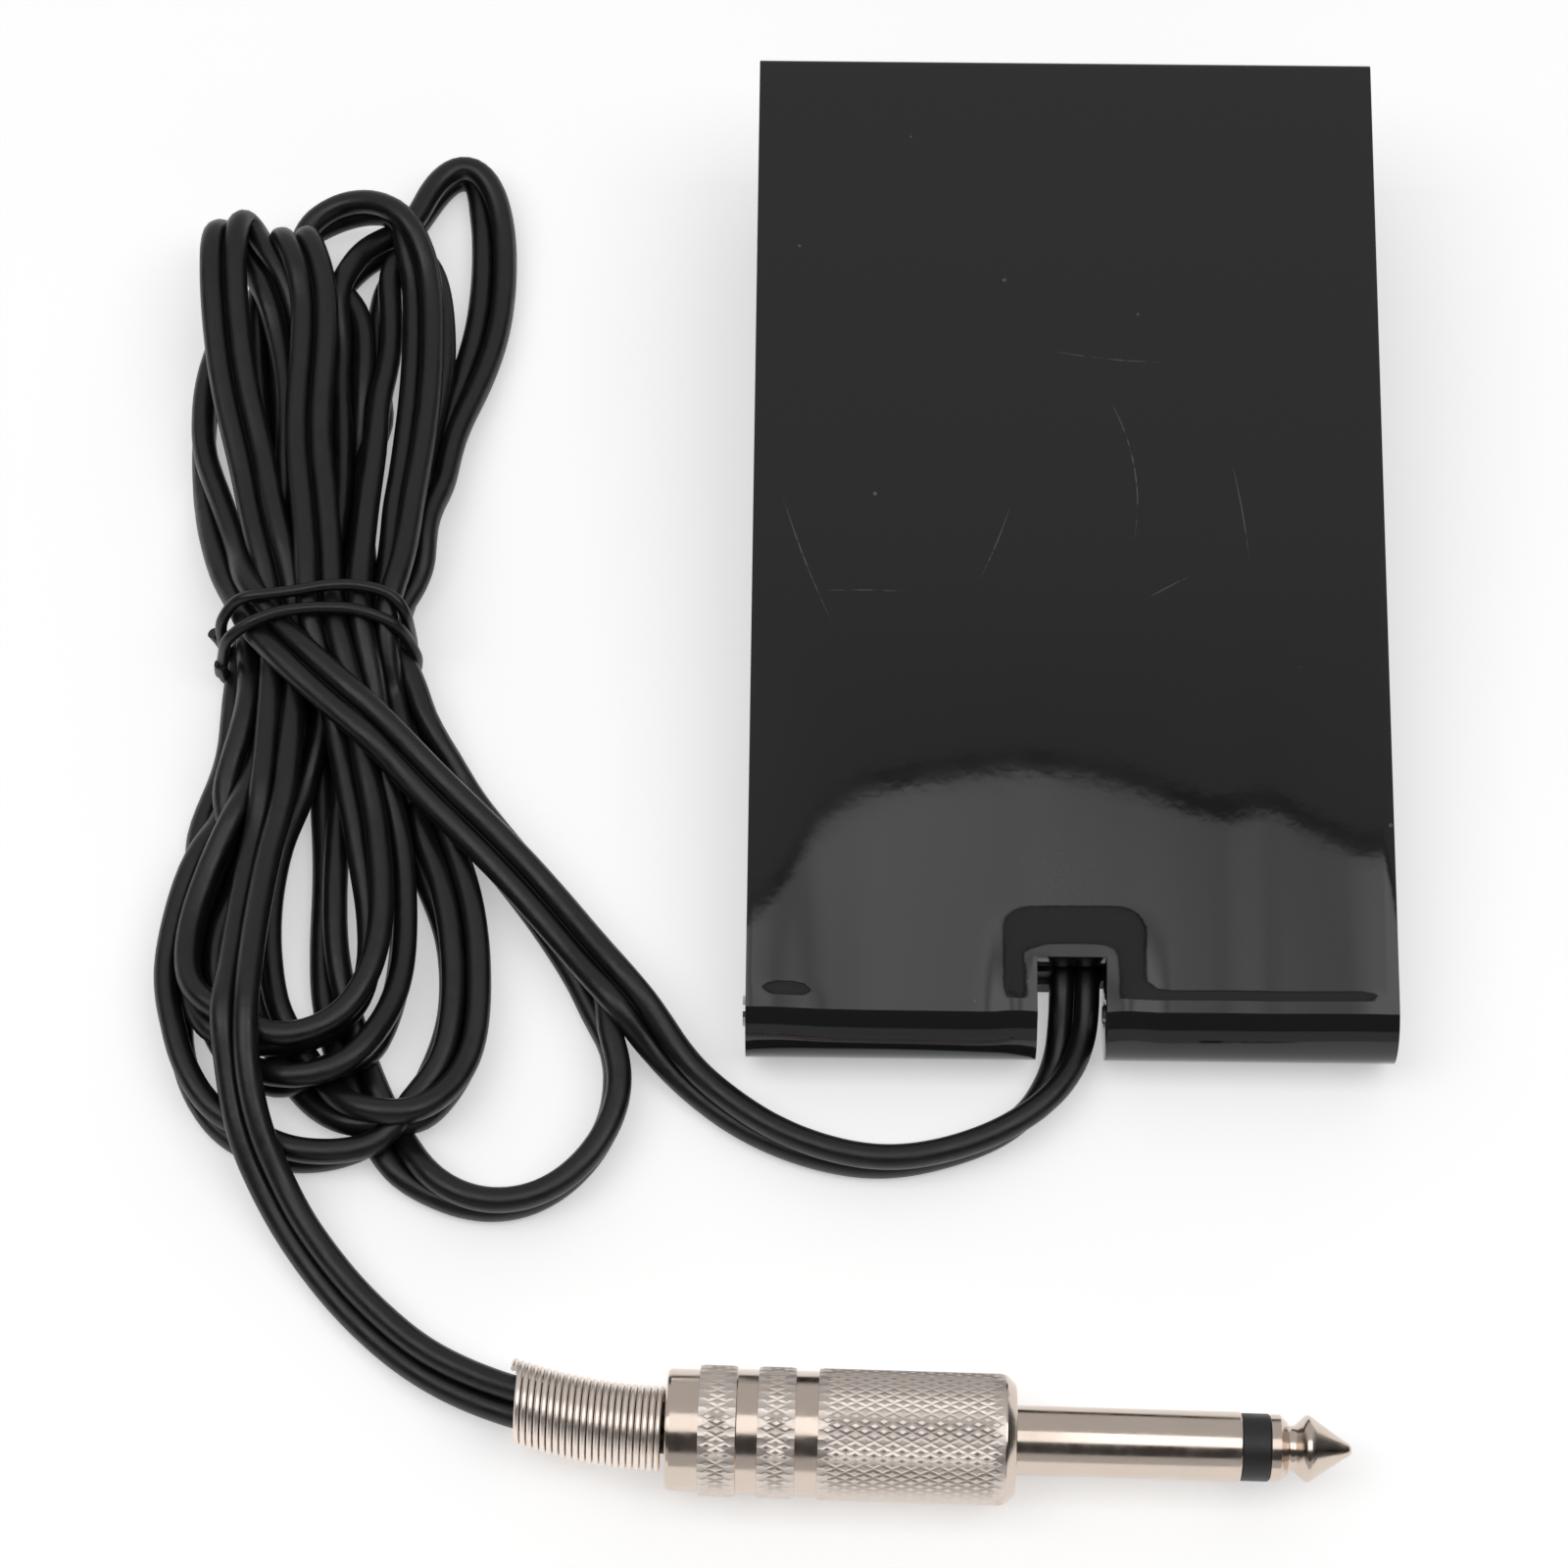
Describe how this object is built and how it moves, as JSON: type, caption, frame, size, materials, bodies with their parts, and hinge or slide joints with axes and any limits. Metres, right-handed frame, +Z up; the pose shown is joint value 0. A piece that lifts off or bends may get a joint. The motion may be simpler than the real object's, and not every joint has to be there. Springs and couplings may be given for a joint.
{
  "type": "sustain pedal",
  "caption": "Flat sustain pedal: sprung treadle hinged at the rear of a base tray, with a leaf switch, and a tied flat twin cord ending in a jack plug.",
  "frame": {"origin": "on the floor, under the middle of the pedal without its cord", "axes": "+Z up, +Y towards the end that the foot presses, +X to the right of someone facing +Y"},
  "size_m": [0.1214, 0.146, 0.0221],
  "materials": {
    "black_moulding": "glossy moulded",
    "black_rubber": "matt",
    "black_pvc": "satin PVC jacket",
    "red_pvc": "satin PVC insulation",
    "nickel": "bright nickel plate",
    "steel": "zinc-plated",
    "brass": "rolled strip",
    "phenolic": "laminated board",
    "nylon": "moulded"
  },
  "bodies": {
    "base": {"base_tray": "black_moulding", "foot_rear_left": "black_rubber", "foot_rear_right": "black_rubber", "foot_front_left": "black_rubber", "foot_front_right": "black_rubber", "hinge_pin_left": "steel", "hinge_pin_right": "steel", "return_spring": "steel", "stop_bumper_left": "black_rubber", "stop_bumper_right": "black_rubber", "fixed_contact_leaf": "brass", "fixed_contact_rivet": "nickel", "contact_spacer": "phenolic", "contact_clamp_plate": "steel", "contact_screw_1": "steel", "contact_screw_2": "steel", "cord_clamp": "black_moulding", "clamp_screw_left": "steel", "clamp_screw_right": "steel", "inner_wire_sleeve": "black_pvc", "inner_wire_tip": "red_pvc", "cord_pedal_lead": "black_pvc", "cord_plug_lead": "black_pvc", "cord_hank": "black_pvc", "cord_tie": "black_pvc", "plug_barrel": "nickel", "plug_sleeve": "nickel", "plug_core_tube": "nylon", "plug_insulator_ring": "black_moulding", "plug_tip": "nickel", "plug_rear_insulator": "phenolic", "plug_tip_lug": "nickel", "plug_sleeve_lug": "nickel", "plug_liner": "black_moulding", "plug_spring": "nickel", "plug_wire_tip": "red_pvc", "plug_wire_sleeve": "black_pvc"},
    "treadle": {"treadle": "black_moulding"},
    "contact_leaf": {"moving_contact_leaf": "brass", "moving_contact_rivet": "nickel"}
  },
  "joints": [
    {"name": "treadle_hinge", "type": "hinge", "parent": "base", "child": "treadle", "pos_m": [0, -0.0466, 0.0054], "axis": [-1, 0, 0], "range_deg": [0, 4.2], "stiffness_Nm_per_rad": 5.5, "springref_deg": -3.55, "deforming": ["return_spring"]},
    {"name": "leaf_bend", "type": "hinge", "parent": "base", "child": "contact_leaf", "pos_m": [-0.014, 0.008, 0.00775], "axis": [1, 0, 0], "range_deg": [0, 3.5]}
  ],
  "couplings": [
    {"joint": "leaf_bend", "follows": "treadle_hinge", "ratio": 0.82}
  ]
}
